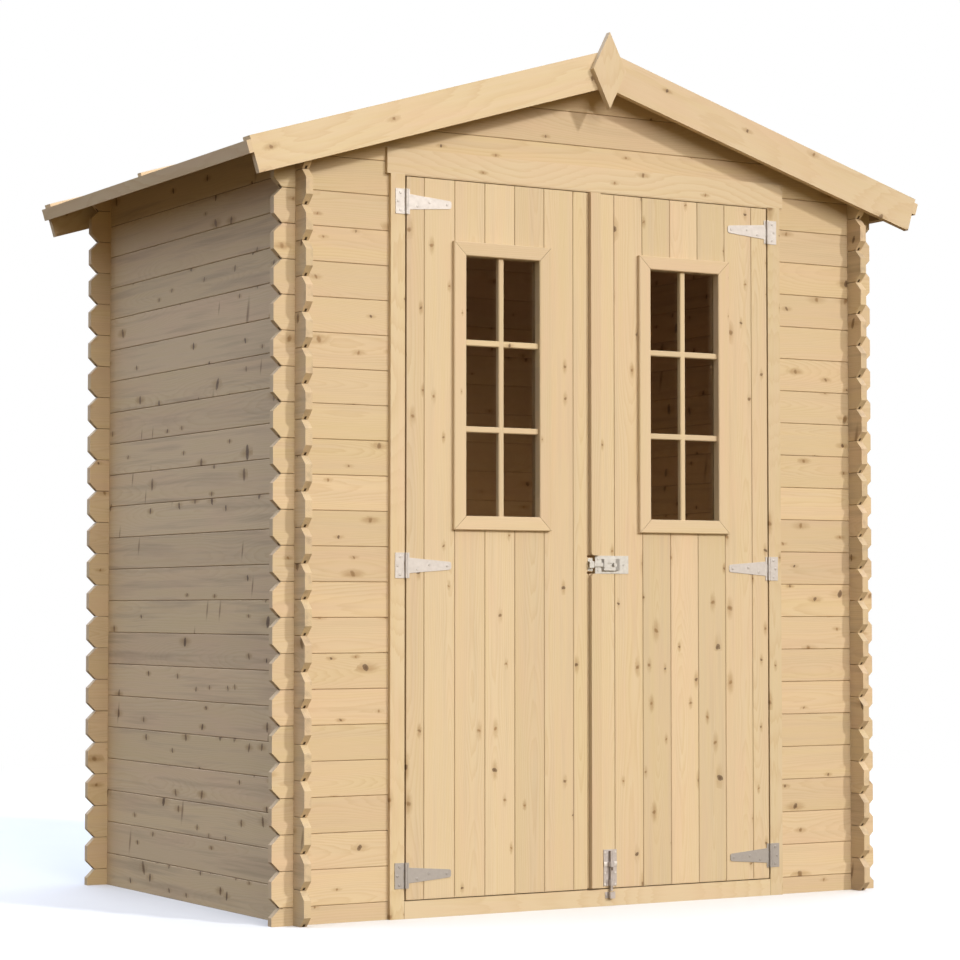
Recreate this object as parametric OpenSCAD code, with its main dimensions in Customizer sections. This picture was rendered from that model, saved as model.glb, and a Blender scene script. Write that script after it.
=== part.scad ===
// Wooden garden shed of interlocking boards with a boarded apex roof and a pair of glazed doors.
// Millimetres. X runs along the front from left to right, Y runs back, Z is up.
// The origin is on the ground at the middle of the plan, and the doors face -Y.

/* [Walls] */
// Width over the outer faces of the side walls
wall_width = 1708; // [1500:1:2100]
// Depth over the outer faces of the front and back walls
wall_depth = 1172; // [900:1:1900]
// Height of one wall board between its joints
board_pitch = 87; // [80:1:95]
// Number of whole boards in a side wall
side_boards = 22; // [20:1:24]
// Thickness of the wall boards
wall_thickness = 19; // [16:1:32]
// Length of the log ends beyond the crossing wall
log_overhang = 58; // [45:1:70]
// Size of the slanted corners of a log end
log_chamfer = 23; // [10:1:26]
// Depth of the V groove at each board joint
joint_groove = 2; // [1:0.5:4]

/* [Roof] */
// Slope of the roof in degrees
roof_slope = 16.92; // [14:0.02:22]
// Thickness of the roof boards
roof_board = 12; // [10:1:20]
// Width of one roof board
roof_board_pitch = 91; // [80:1:120]
// Distance of the lower end of the roof boards beyond the side walls, level
eave_reach = 153.4; // [110:0.2:260]
// Distance of the barge boards beyond the log ends
barge_clearance = 0.5; // [0.5:0.5:40]
// Width of the barge boards
barge_width = 92; // [80:1:110]
// Thickness of the barge boards
barge_thickness = 17; // [12:1:22]
// Width of the laths beside the barge boards
lath_width = 22; // [16:1:40]
// Thickness of the laths
lath_thickness = 10; // [6:1:14]
// Size of the eased upper edges of the laths
lath_edge = 2; // [1:0.5:4]
// Height of the eave boards
fascia_height = 32; // [24:1:60]
// Thickness of the eave boards
fascia_thickness = 12; // [10:1:18]
// Width of the roof beams
beam_width = 28; // [19:1:44]
// Height of the roof beams
beam_height = 62; // [40:1:90]
// Width of the diamond boards at the ridge ends
diamond_width = 100; // [80:1:130]
// Height of the diamond boards
diamond_height = 198; // [150:1:220]
// Distance of a diamond's middle below the top of the roof
diamond_drop = 54; // [40:1:70]

/* [Doorway] */
// Clear width between the door posts
doorway_width = 1112; // [1000:1:1200]
// Height of the lower edge of the head board
head_bottom = 1840; // [1790:1:1860]
// Height of the head board
head_height = 64; // [50:1:66]
// Distance the head board runs past each post
head_end = 10; // [0:1:20]
// Width of the door posts
post_width = 40; // [36:1:60]
// Thickness of the posts, the head board and the threshold
frame_board = 12; // [10:1:20]
// Height of the threshold
threshold_height = 43; // [30:1:43]

/* [Doors] */
// Thickness of the door boards
door_board = 16; // [14:1:22]
// Gap between a door and the frame around it
door_gap = 5; // [4:0.5:8]
// Gap between the two doors
meeting_gap = 7; // [6:0.5:12]
// Width of one door board
door_board_pitch = 87.6; // [80:0.1:95]
// Distance of the first joint from the middle of the doorway
first_joint = 63; // [50:1:80]
// Width of the cover strip
strip_width = 30; // [24:1:40]
// Thickness of the cover strip
strip_thickness = 12; // [8:1:16]
// Height of the notch in the cover strip
strip_notch = 47; // [47:1:70]
// Radius of the strip's corners at the notch
notch_radius = 8; // [4:1:12]
// Distance of the keeper block's edge from the middle of the doorway
notch_edge = 5; // [4:0.5:9]
// Gap above and below the keeper block in the notch of the cover strip
notch_gap = 5.5; // [5:0.5:8]
// Height of the ledges behind a door
ledge_height = 90; // [60:1:100]
// Thickness of the ledges behind a door
ledge_thickness = 18; // [12:1:22]
// Distance of the ledges from the upright edges of a door
ledge_inset = 20; // [18:1:40]
// Least distance of the ledges from the upper and lower edges of a door
ledge_margin = 10; // [5:1:30]

/* [Windows] */
// Outer width of a window frame
window_width = 286; // [240:1:300]
// Outer height of a window frame
window_height = 724; // [600:1:740]
// Height of the lower edge of a window frame
window_bottom = 958; // [940:1:970]
// Distance of a window's middle from the middle of the doorway
window_centre = 278; // [270:1:285]
// Width of the frame around the panes
window_border = 35; // [25:1:45]
// Thickness of the frame in front of the door boards
window_front = 12; // [8:1:18]
// Size of the eased front edges of the window frame and its bars
window_edge = 2; // [1:0.5:4]
// Width of the open mitre joints at the corners of the frame
mitre_gap = 0.8; // [0.4:0.1:1.5]
// Thickness of the lining between the frame and the glass
lining = 7; // [5:0.5:12]
// Thickness of the border behind the glass
inner_border = 12; // [8:1:18]
// Width of the glazing bars
bar_width = 15; // [10:1:20]
// Distance of the glazing bars behind the face of the frame
bar_setback = 11; // [6:1:12]
// Thickness of the glass
glass_thickness = 3; // [3:1:4]

/* [Hinges] */
// Height of the middle of the lower hinges
hinge_low = 106; // [95:1:140]
// Height of the middle of the middle hinges
hinge_mid = 868; // [820:1:880]
// Height of the middle of the upper hinges
hinge_high = 1772; // [1745:1:1785]
// Height of a hinge plate
hinge_height = 63; // [50:1:70]
// Distance of a plate's outer edge from the hinge pin
plate_reach = 30; // [24:1:34]
// Distance of a strap's tip from the hinge pin
strap_reach = 129; // [110:1:150]
// Height of the strap at its root
strap_root = 38; // [30:1:46]
// Height of the strap at its tip
strap_tip = 20; // [14:1:26]
// Radius of the corners of the strap's tip
strap_corner = 6; // [2:0.5:7]
// Distance of the strap's root from the hinge pin
strap_shoulder = 10; // [9:0.5:16]
// Thickness of the plates and straps
sheet = 2; // [1.5:0.1:2.5]
// Radius of the hinge knuckles
knuckle_r = 4; // [3.5:0.1:5]
// Radius of the hinge pins
pin_r = 2; // [1.5:0.1:2.2]

/* [Latch] */
// Height of the middle of the latch
latch_z = 874.5; // [868:0.5:882]
// Distance of the latch plate from the edge of the right door
latch_start = 0; // [0:0.5:6]
// Length of the latch plate
latch_length = 102; // [90:1:115]
// Height of the latch plate
latch_height = 46; // [42:1:46]
// Distance of the raised case from the left end of the plate
case_start = 19; // [12:1:24]
// Length of the flat front of the case
case_front = 35; // [33:1:40]
// Length of the slope at the right end of the case
case_slope = 17; // [8:1:24]
// Length of the slope at the left end of the case
case_shoulder = 4; // [2:0.5:6]
// Height of the case
case_height = 30; // [22:1:34]
// Thickness of the metal of the case
case_wall = 2; // [1:0.5:2.5]
// Distance of the knob's way from the end of the slope
slot_margin = 4; // [2:0.5:8]
// Height of the slide in the latch
slide_height = 10; // [8:1:14]
// Thickness of the slide
slide_thickness = 4; // [3:0.5:5]
// Travel of the slide
slide_travel = 16; // [12:1:17]
// Clearance around the slide
slide_clearance = 0.5; // [0.3:0.1:1]
// Radius of the slide's knob
knob_r = 4; // [3:0.5:5]
// Length of the knob in front of the slide
knob_length = 9; // [6:1:12]
// Length of the keeper along the slide
keeper_length = 14; // [10:1:16]
// Gap between the withdrawn slide and its keeper
keeper_gap = 3; // [2:0.5:6]
// Height of the keeper over its two feet
keeper_height = 32; // [26:1:40]

/* [Bolt] */
// Distance of the barrel bolt from the middle of the doorway
bolt_x = 46; // [42:1:60]
// Length of the bolt plate
bolt_plate_length = 93; // [90:1:110]
// Width of the bolt plate
bolt_plate_width = 40; // [34:1:46]
// Radius of the bolt rod
rod_r = 4.5; // [3.5:0.1:5]
// Travel of the rod
rod_travel = 25; // [20:1:30]
// Distance of the bolt plate above the lower edge of the door
bolt_plate_gap = 3; // [1:0.5:10]
// Height of the lower guide of the rod
guide_height = 15; // [10:1:18]
// Width of the lower guide over its flanges
guide_width = 24; // [20:1:30]
// Thickness of the metal of the guides
guide_wall = 2.5; // [1.5:0.1:3]
// Height of the upper guide of the rod
bridge_height = 12; // [8:1:16]
// Radius of the rod's knob
rod_knob_r = 3.5; // [3:0.1:4]
// Height of the bolt keeper
bolt_keeper_height = 16; // [12:1:20]
// Distance of the bolt keeper below the top of the threshold
bolt_keeper_drop = 7; // [5:1:10]
// Width of the bolt keeper over its feet
bolt_keeper_width = 30; // [24:1:36]
// Gap between the withdrawn rod and its keeper
rod_gap = 3; // [2:0.5:8]

/* [Hidden] */
$fn = 40;
h = board_pitch;
t = wall_thickness;
hw = wall_width / 2;
hd = wall_depth / 2;
seat = 0.3;
eave_z = side_boards * h;
log_top = (side_boards - 0.5) * h;
tan_r = tan(roof_slope);
cos_r = cos(roof_slope);
roof_seat = seat / cos_r;
slope_length = (hw + eave_reach) / cos_r;
ridge_z = eave_z + hw * tan_r;
roof_top = ridge_z + (roof_board + lath_thickness) / cos_r;
deck_y = hd + log_overhang + barge_clearance;
barge_y = deck_y + barge_thickness;
run_past = 2 * log_overhang;
door_w = doorway_width / 2;
post_w = door_w + post_width;
front_y = -hd;
face_y = front_y - frame_board;
door_edge = door_w - door_gap;
door_low = threshold_height + door_gap;
door_high = head_bottom - door_gap;
left_meet = strip_width / 2 + meeting_gap;
pin_x = door_w - door_gap / 2;
pin_y = face_y - knuckle_r;
back_y = face_y + door_board;
glass_y = back_y - glass_thickness;
frame_y = face_y - window_front;
sight_w = window_width / 2 - window_border;
sight_low = window_bottom + window_border;
sight_high = window_bottom + window_height - window_border;
bore_r = pin_r + 0.08;
rod_bore = rod_r + 0.08;
hinges = [hinge_low, hinge_mid, hinge_high];
plate_y = face_y - sheet;
slide_y = plate_y - 2 * slide_clearance - slide_thickness;
case_y = slide_y - slide_clearance - case_wall;
notch_right = meeting_gap - notch_edge;
latch_x = notch_right + latch_start;
case_x = latch_x + case_start;
slope_x = case_x + case_shoulder + case_front;
slide_end = slope_x - slide_clearance;
knob_x = slide_end - knob_r - 1;
keeper_x = -notch_edge - 1;
slide_tip = keeper_x + keeper_gap;
rod_y = plate_y - 0.5 - rod_r;
rod_low = threshold_height - bolt_keeper_drop + rod_gap;
plate_low = door_low + bolt_plate_gap;
bridge_low = plate_low + 1 + guide_height + rod_travel + 2 * rod_knob_r + 2;
brown = [0.87, 0.74, 0.55];
metal = [0.8, 0.8, 0.8];

// Top of a wall below the roof boards at a distance from the middle
function under(x) = ridge_z - roof_seat - abs(x) * tan_r;

// Right-hand outline of one front or back board, going up
function front_end(k) = k == 0
  ? [[hw + log_overhang, 0], [hw + log_overhang, h / 2 - log_chamfer],
     [hw + log_overhang - log_chamfer, h / 2 - seat], [hw, h / 2 - seat], [hw, h / 4], [hw - t, h / 4]]
  : [[hw - t, (k - 0.25) * h], [hw, (k - 0.25) * h], [hw, (k - 0.5) * h + seat],
     [hw + log_overhang - log_chamfer, (k - 0.5) * h + seat],
     [hw + log_overhang, (k - 0.5) * h + log_chamfer],
     [hw + log_overhang, (k + 0.5) * h - log_chamfer],
     [hw + log_overhang - log_chamfer, (k + 0.5) * h - seat],
     [hw, (k + 0.5) * h - seat], [hw, (k + 0.25) * h], [hw - t, (k + 0.25) * h]];

// Rear outline of one side board, going up
function side_end(k) =
    [[hd - t, (k + 0.25) * h], [hd, (k + 0.25) * h], [hd, k * h + (k == 0 ? 0 : seat)],
     [hd + log_overhang - log_chamfer, k * h + (k == 0 ? 0 : seat)],
     [hd + log_overhang, k * h + log_chamfer],
     [hd + log_overhang, (k + 1) * h - log_chamfer],
     [hd + log_overhang - log_chamfer, (k + 1) * h - seat],
     [hd, (k + 1) * h - seat], [hd, (k + 0.75) * h], [hd - t, (k + 0.75) * h]];

// Outline of the gable above the last whole side board, going up to the ridge
function gable_end() =
    [[hw - t, log_top], [hw - t, log_top + h / 4], [hw, log_top + h / 4], [hw, log_top + seat],
     [hw + log_overhang - log_chamfer, log_top + seat], [hw + log_overhang, log_top + log_chamfer],
     [hw + log_overhang, under(hw + log_overhang)]];

// A list of points mirrored and turned round
function flip(p) = [for (i = [len(p) - 1 : -1 : 0]) [-p[i][0], p[i][1]]];

// Wall section with V grooves on both faces at each joint
function section(joints, top_out, top_in) = concat(
    [[0, 0]],
    [for (z = joints) each [[0, z - joint_groove], [joint_groove, z], [0, z + joint_groove]]],
    [[0, top_out], [t, top_in]],
    [for (i = [len(joints) - 1 : -1 : 0])
        each [[t, joints[i] + joint_groove], [t - joint_groove, joints[i]], [t, joints[i] - joint_groove]]],
    [[t, 0]]);

front_joints = [for (k = [0 : side_boards + 6]) if ((k + 0.5) * h < ridge_z - h / 4) (k + 0.5) * h];
side_joints = [for (k = [1 : side_boards - 1]) k * h];

// Upright plate drawn in X and Z, from y to y + thick
module plate_xz(points, y, thick) {
  translate([0, y + thick, 0]) rotate([90, 0, 0]) linear_extrude(thick) polygon(points);
}

// Upright plate drawn in Y and Z, from x to x + thick
module plate_yz(points, x, thick) {
  translate([x, 0, 0]) rotate([90, 0, 90]) linear_extrude(thick) polygon(points);
}

// Box from its low corner to its high corner
module block(a, b) {
  translate(a) cube([b[0] - a[0], b[1] - a[1], b[2] - a[2]]);
}

// Board section run along X, its outer face at the front
module front_boards() {
  translate([-hw - run_past, front_y, 0]) rotate([90, 0, 90]) linear_extrude(2 * (hw + run_past))
    polygon(section(front_joints, ridge_z + 1, ridge_z + 1));
}

module back_wall() {
  half = concat([for (k = [0 : side_boards - 1]) each front_end(k)], gable_end());
  color(brown) mirror([0, 1, 0]) intersection() {
    plate_xz(concat(half, [[0, under(0)]], flip(half)), front_y, t);
    front_boards();
  }
}

// Part of the front wall on the right of the doorway
module front_side() {
  half = [for (k = [0 : side_boards - 1]) each front_end(k)];
  intersection() {
    plate_xz(concat([[door_w, 0]], half, [[hw - t, log_top], [door_w, log_top]]), front_y, t);
    front_boards();
  }
}

module front_wall_right() {
  color(brown) front_side();
}

module front_wall_left() {
  color(brown) mirror([1, 0, 0]) front_side();
}

module front_bottom_log() {
  color(brown) block([-door_w, front_y, 0], [door_w, front_y + t, h / 2]);
}

module front_gable() {
  half = concat([[door_w, head_bottom], [door_w, log_top]], gable_end());
  color(brown) intersection() {
    plate_xz(concat(half, [[0, under(0)]], flip(half)), front_y, t);
    front_boards();
  }
}

// Side wall with its outer face at +X
module side_wall() {
  half = [for (k = [0 : side_boards - 1]) each side_end(k)];
  top = under(hw - t) + 1;
  ends = concat([[hd - t, 0]], half, [[hd - t, top]]);
  intersection() {
    plate_yz(concat(ends, flip(ends)), hw - t, t);
    translate([hw, hd + run_past, 0]) rotate([90, 0, 0]) mirror([1, 0, 0])
      linear_extrude(2 * (hd + run_past)) polygon(section(side_joints, under(hw), under(hw - t)));
  }
}

module right_wall() {
  color(brown) side_wall();
}

module left_wall() {
  color(brown) mirror([1, 0, 0]) side_wall();
}

// Profile of Y and height run down the right roof slope from the ridge, which cuts it upright
module slope_run(profile) {
  intersection() {
    translate([0, 0, ridge_z]) rotate([0, roof_slope, 0]) translate([-barge_width, 0, 0])
      rotate([90, 0, 90]) linear_extrude(slope_length + barge_width) polygon(profile);
    block([0, -2 * barge_y, 0], [2 * (hw + eave_reach), 2 * barge_y, 2 * ridge_z]);
  }
}

// Roof boards of the right slope with their joints
module deck() {
  count = floor(deck_y / roof_board_pitch);
  joints = [for (k = [-count : count]) k * roof_board_pitch];
  g = joint_groove;
  slope_run(concat([[-deck_y, 0]],
    [for (y = joints) each [[y - g, 0], [y, g], [y + g, 0]]],
    [[deck_y, 0], [deck_y, roof_board]],
    [for (i = [len(joints) - 1 : -1 : 0])
        each [[joints[i] + g, roof_board], [joints[i], roof_board - g], [joints[i] - g, roof_board]]],
    [[-deck_y, roof_board]]));
}

module right_roof() {
  color(brown) deck();
}

module left_roof() {
  color(brown) mirror([1, 0, 0]) deck();
}

// Barge board at the front of the right slope
module barge() {
  top = roof_board + lath_thickness;
  slope_run([[-barge_y, top - barge_width], [-deck_y, top - barge_width], [-deck_y, top], [-barge_y, top]]);
}

module front_right_barge() {
  color(brown) barge();
}

module front_left_barge() {
  color(brown) mirror([1, 0, 0]) barge();
}

module back_right_barge() {
  color(brown) mirror([0, 1, 0]) barge();
}

module back_left_barge() {
  color(brown) mirror([1, 0, 0]) mirror([0, 1, 0]) barge();
}

// Three laths on the right slope: front, middle and back
module laths() {
  top = roof_board + lath_thickness;
  for (y = [-deck_y, -lath_width / 2, deck_y - lath_width])
    slope_run([[y, roof_board], [y + lath_width, roof_board], [y + lath_width, top - lath_edge],
               [y + lath_width - lath_edge, top], [y + lath_edge, top], [y, top - lath_edge]]);
}

module right_laths() {
  color(brown) laths();
}

module left_laths() {
  color(brown) mirror([1, 0, 0]) laths();
}

// Eave board along the lower edge of the right slope
module fascia() {
  translate([0, 0, ridge_z]) rotate([0, roof_slope, 0])
    block([slope_length, -barge_y, roof_board - fascia_height],
          [slope_length + fascia_thickness, barge_y, roof_board]);
}

module right_fascia() {
  color(brown) fascia();
}

module left_fascia() {
  color(brown) mirror([1, 0, 0]) fascia();
}

module ridge_beam() {
  b = beam_width / 2;
  color(brown) plate_xz([[-b, ridge_z - beam_height], [b, ridge_z - beam_height], [b, under(b)],
                         [0, under(0)], [-b, under(b)]], -hd + t, 2 * (hd - t));
}

// Roof beam half way down the right slope
module purlin() {
  a = hw / 2 - beam_width / 2;
  b = hw / 2 + beam_width / 2;
  low = under(a) - beam_height;
  plate_xz([[a, low], [b, low], [b, under(b)], [a, under(a)]], -hd + t, 2 * (hd - t));
}

module purlins() {
  color(brown) for (s = [0, 1]) mirror([s, 0, 0]) purlin();
}

// Diamond board on the ridge end at the front
module diamond() {
  z = roof_top - diamond_drop;
  plate_xz([[0, z - diamond_height / 2], [diamond_width / 2, z], [0, z + diamond_height / 2],
            [-diamond_width / 2, z]], -barge_y - barge_thickness, barge_thickness);
}

module front_diamond() {
  color(brown) diamond();
}

module back_diamond() {
  color(brown) mirror([0, 1, 0]) diamond();
}

module right_post() {
  color(brown) block([door_w, face_y, 0], [post_w, front_y, head_bottom]);
}

module left_post() {
  color(brown) block([-post_w, face_y, 0], [-door_w, front_y, head_bottom]);
}

module head_board() {
  color(brown) block([-post_w - head_end, face_y, head_bottom],
                     [post_w + head_end, front_y, head_bottom + head_height]);
}

module threshold() {
  color(brown) block([-door_w, face_y, 0], [door_w, front_y, threshold_height]);
}

// Boards of a door from x0 to x1, with an opening for its window
module door_leaf(x0, x1, side) {
  g = joint_groove;
  count = ceil(door_w / door_board_pitch);
  offsets = [for (k = [0 : count]) first_joint + k * door_board_pitch];
  joints = side > 0 ? [for (a = offsets) if (a < x1 - 2 * g) a]
                    : [for (i = [count : -1 : 0]) if (offsets[i] < -x0 - 2 * g) -offsets[i]];
  profile = concat([[x0, face_y]],
    [for (x = joints) each [[x - g, face_y], [x, face_y + g], [x + g, face_y]]],
    [[x1, face_y], [x1, back_y]],
    [for (i = [len(joints) - 1 : -1 : 0])
        each [[joints[i] + g, back_y], [joints[i], back_y - g], [joints[i] - g, back_y]]],
    [[x0, back_y]]);
  c = side * window_centre;
  hole = sight_w + lining;
  difference() {
    translate([0, 0, door_low]) linear_extrude(door_high - door_low) polygon(profile);
    block([c - hole, face_y - 1, sight_low - lining], [c + hole, back_y + 1, sight_high + lining]);
  }
}

module right_door() {
  color(brown) door_leaf(notch_right, door_edge, 1);
}

module left_door() {
  color(brown) door_leaf(-door_edge, -left_meet, -1);
}

// Block on the edge of the left door that carries the keeper in the notch of the cover strip
module keeper_block() {
  half = strip_notch / 2 - notch_gap;
  color(brown) block([-left_meet, face_y, latch_z - half], [-notch_edge, back_y, latch_z + half]);
}

// Ring around the panes, its outer edge at a distance from them, between two depths
module ring(c, wide, y0, y1) {
  difference() {
    block([c - sight_w - wide, y0, sight_low - wide], [c + sight_w + wide, y1, sight_high + wide]);
    block([c - sight_w, y0 - 1, sight_low], [c + sight_w, y1 + 1, sight_high]);
  }
}

// Rail of the window frame with eased edges and mitred ends, its outer edge on the X axis
module frame_rail(length) {
  e = window_edge;
  b = window_border;
  a = length / 2 - mitre_gap / sqrt(2);
  intersection() {
    plate_yz([[face_y, 0], [frame_y + e, 0], [frame_y, e], [frame_y, b - e], [frame_y + e, b], [face_y, b]],
             -a, 2 * a);
    plate_xz([[-a, 0], [a, 0], [a - b, b], [b - a, b]], frame_y - 1, window_front + 2);
  }
}

// Window frame of four mitred rails on a lining, with glazing bars
module window_frame(side) {
  c = side * window_centre;
  e = window_edge;
  mid = window_bottom + window_height / 2;
  pane = (sight_high - sight_low) / 3;
  bar_y = frame_y + bar_setback;
  b = bar_width / 2;
  union() {
    translate([c, 0, window_bottom]) frame_rail(window_width);
    translate([c, 0, window_bottom + window_height]) rotate([0, 180, 0]) frame_rail(window_width);
    translate([c - window_width / 2, 0, mid]) rotate([0, 90, 0]) frame_rail(window_height);
    translate([c + window_width / 2, 0, mid]) rotate([0, -90, 0]) frame_rail(window_height);
    ring(c, lining, face_y - window_front / 2, glass_y);
    translate([c, 0, sight_low - 1]) linear_extrude(sight_high - sight_low + 2)
      polygon([[-b, glass_y], [-b, bar_y + e], [e - b, bar_y], [b - e, bar_y], [b, bar_y + e], [b, glass_y]]);
    for (k = [1, 2])
      translate([0, 0, sight_low + k * pane])
        plate_yz([[glass_y, -b], [bar_y + e, -b], [bar_y, e - b], [bar_y, b - e], [bar_y + e, b], [glass_y, b]],
                 c - sight_w - 1, 2 * sight_w + 2);
  }
}

module right_window_frame() {
  color(brown) window_frame(1);
}

module left_window_frame() {
  color(brown) window_frame(-1);
}

// Window glass in the opening of a door
module glass(side) {
  c = side * window_centre;
  w = sight_w + lining;
  block([c - w, glass_y, sight_low - lining], [c + w, back_y, sight_high + lining]);
}

module right_glass() {
  color([0.25, 0.2, 0.16, 0.5]) glass(1);
}

module left_glass() {
  color([0.25, 0.2, 0.16, 0.5]) glass(-1);
}

// Ledges and inner window border behind a door
module ledges(side, meet) {
  a = meet + ledge_inset;
  b = door_edge - ledge_inset;
  x0 = side > 0 ? a : -b;
  x1 = side > 0 ? b : -a;
  for (z = hinges) {
    low = max(door_low + ledge_margin, min(z - ledge_height / 2, door_high - ledge_margin - ledge_height));
    z1 = z == hinge_mid ? min(low + ledge_height, window_bottom - seat) : low + ledge_height;
    z0 = z == hinge_high ? max(low, window_bottom + window_height + seat) : low;
    block([x0, back_y, z0], [x1, back_y + ledge_thickness, z1]);
  }
  ring(side * window_centre, window_border, back_y, back_y + inner_border);
}

module right_ledges() {
  color(brown) ledges(1, notch_right);
}

module left_ledges() {
  color(brown) ledges(-1, left_meet);
}

// Half of the cover strip, from the notch at z = 0 up to a height.
// Behind it is a tongue that closes the doorway beside the edge of the right door.
module strip_half(height) {
  b = strip_width / 2;
  r = notch_radius;
  union() {
    block([-b, face_y, 0], [notch_right, back_y, height]);
    block([-b, face_y - strip_thickness, r], [b, face_y, height]);
    block([r - b, face_y - strip_thickness, 0], [b - r, face_y, r]);
    for (x = [r - b, b - r])
      translate([x, face_y, r]) rotate([90, 0, 0]) cylinder(r = r, h = strip_thickness);
  }
}

module cover_strip() {
  top = latch_z + strip_notch / 2;
  low = latch_z - strip_notch / 2;
  color(brown) {
    translate([0, 0, top]) strip_half(door_high - top);
    translate([0, 0, low]) mirror([0, 0, 1]) strip_half(low - door_low);
  }
}

// Fixed hinge plate on the right post with its pin, at height z
module hinge_plate(z) {
  third = hinge_height / 6 + 0.5;
  union() {
    difference() {
      block([pin_x, face_y - sheet, z - hinge_height / 2],
            [pin_x + plate_reach, face_y, z + hinge_height / 2]);
      block([pin_x - 1, face_y - sheet - 1, z - third], [pin_x + knuckle_r + 1, face_y + 1, z + third]);
    }
    for (a = [-hinge_height / 2, third])
      translate([pin_x, pin_y, z + a]) cylinder(r = knuckle_r, h = hinge_height / 2 - third);
    translate([pin_x, pin_y, z - hinge_height / 2 + 1]) cylinder(r = pin_r, h = hinge_height - 2);
  }
}

// Moving hinge strap on the right door, at height z
module hinge_strap(z) {
  third = hinge_height / 6;
  half = hinge_height / 2;
  inner = pin_x - knuckle_r - 1;
  root = pin_x - strap_shoulder;
  r = strap_corner;
  tip = pin_x - strap_reach + r;
  flat = strap_tip / 2 - r;
  outline = concat(
    [[root, z + half], [root, z + strap_root / 2]],
    [for (a = [90 : 15 : 180]) [tip + r * cos(a), z + flat + r * sin(a)]],
    [for (a = [180 : 15 : 270]) [tip + r * cos(a), z - flat + r * sin(a)]],
    [[root, z - strap_root / 2], [root, z - half], [inner, z - half], [inner, z - third],
     [pin_x, z - third], [pin_x, z + third], [inner, z + third], [inner, z + half]]);
  difference() {
    union() {
      plate_xz(outline, plate_y, sheet);
      translate([pin_x, pin_y, z - third]) cylinder(r = knuckle_r, h = 2 * third);
    }
    translate([pin_x, pin_y, z - third - 1]) cylinder(r = bore_r, h = 2 * third + 2);
  }
}

module right_hinge_plates() {
  color(metal) for (z = hinges) hinge_plate(z);
}

module left_hinge_plates() {
  color(metal) mirror([1, 0, 0]) for (z = hinges) hinge_plate(z);
}

module right_hinge_straps() {
  color(metal) for (z = hinges) hinge_strap(z);
}

module left_hinge_straps() {
  color(metal) mirror([1, 0, 0]) for (z = hinges) hinge_strap(z);
}

// Latch on the right door: a plate with a raised case, open at its left end and along the knob's way
module latch_case() {
  zc = case_height / 2;
  zs = slide_height / 2 + slide_clearance;
  zk = knob_r + slide_clearance;
  slot_end = slope_x + case_slope - slot_margin;
  color(metal) difference() {
    union() {
      block([latch_x, plate_y, latch_z - latch_height / 2],
            [latch_x + latch_length, face_y, latch_z + latch_height / 2]);
      translate([0, 0, latch_z - zc]) linear_extrude(case_height)
        polygon([[case_x, face_y - sheet / 2], [case_x, plate_y], [case_x + case_shoulder, case_y],
                 [slope_x, case_y], [slope_x + case_slope, plate_y],
                 [slope_x + case_slope, face_y - sheet / 2]]);
    }
    block([case_x - 1, slide_y - slide_clearance, latch_z - zs],
          [slide_end + slide_clearance, plate_y, latch_z + zs]);
    block([knob_x - slide_travel - zk, case_y - 1, latch_z - zk], [slot_end, slide_y, latch_z + zk]);
  }
}

module latch_slide() {
  color(metal) union() {
    block([slide_tip, slide_y, latch_z - slide_height / 2],
          [slide_end, slide_y + slide_thickness, latch_z + slide_height / 2]);
    translate([knob_x, slide_y - knob_length, latch_z]) rotate([-90, 0, 0])
      cylinder(r = knob_r, h = knob_length + slide_thickness / 2);
  }
}

// Outline of a bent strap with two feet: half widths inside, depths from the plate it is fixed to
function bent_strap(half, foot, depth, wall) =
    [[-foot, 0], [-half, 0], [-half, depth - wall], [half, depth - wall], [half, 0], [foot, 0],
     [foot, wall], [half + wall, wall], [half + wall, depth],
     [-half - wall, depth], [-half - wall, wall], [-foot, wall]];

module latch_keeper() {
  depth = face_y - slide_y + 3 * slide_clearance + sheet;
  outline = bent_strap(slide_height / 2 + 3 * slide_clearance, keeper_height / 2, depth, sheet);
  color(metal) translate([0, 0, latch_z])
    plate_yz([for (p = outline) [face_y - p[1], p[0]]], keeper_x - keeper_length, keeper_length);
}

// Guide for the bolt rod at a height on its plate, bored for the rod
module rod_guide(width, z, height) {
  wall = guide_wall;
  flange = wall / 2;
  a = rod_r + wall;
  out = rod_y - a;
  difference() {
    translate([bolt_x, 0, z]) linear_extrude(height)
      polygon([[-width / 2, face_y - sheet / 2], [-width / 2, plate_y - flange], [-a - 1, plate_y - flange],
               [-a, out + wall], [wall - a, out], [a - wall, out], [a, out + wall],
               [a + 1, plate_y - flange], [width / 2, plate_y - flange], [width / 2, face_y - sheet / 2]]);
    translate([bolt_x, rod_y, z - 1]) cylinder(r = rod_bore, h = height + 2);
  }
}

// Barrel bolt on the right door: a plate with two guides for the rod
module bolt_plate() {
  color(metal) union() {
    block([bolt_x - bolt_plate_width / 2, plate_y, plate_low],
          [bolt_x + bolt_plate_width / 2, face_y, plate_low + bolt_plate_length]);
    rod_guide(guide_width, plate_low + 1, guide_height);
    rod_guide(bolt_plate_width, bridge_low, bridge_height);
  }
}

module bolt_rod() {
  top = bridge_low + bridge_height + rod_travel + 3;
  color(metal) union() {
    translate([bolt_x, rod_y, rod_low]) cylinder(r = rod_r, h = top - rod_low);
    translate([bolt_x, rod_y, bridge_low - rod_knob_r - 1]) rotate([90, 0, 0])
      cylinder(r = rod_knob_r, h = rod_r + knob_length);
  }
}

module bolt_keeper() {
  gap = 1;
  depth = face_y - rod_y + rod_r + gap + sheet;
  outline = bent_strap(rod_r + gap, bolt_keeper_width / 2, depth, sheet);
  color(metal) translate([bolt_x, face_y, threshold_height - bolt_keeper_drop - bolt_keeper_height])
    linear_extrude(bolt_keeper_height) polygon([for (p = outline) [p[0], -p[1]]]);
}

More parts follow.
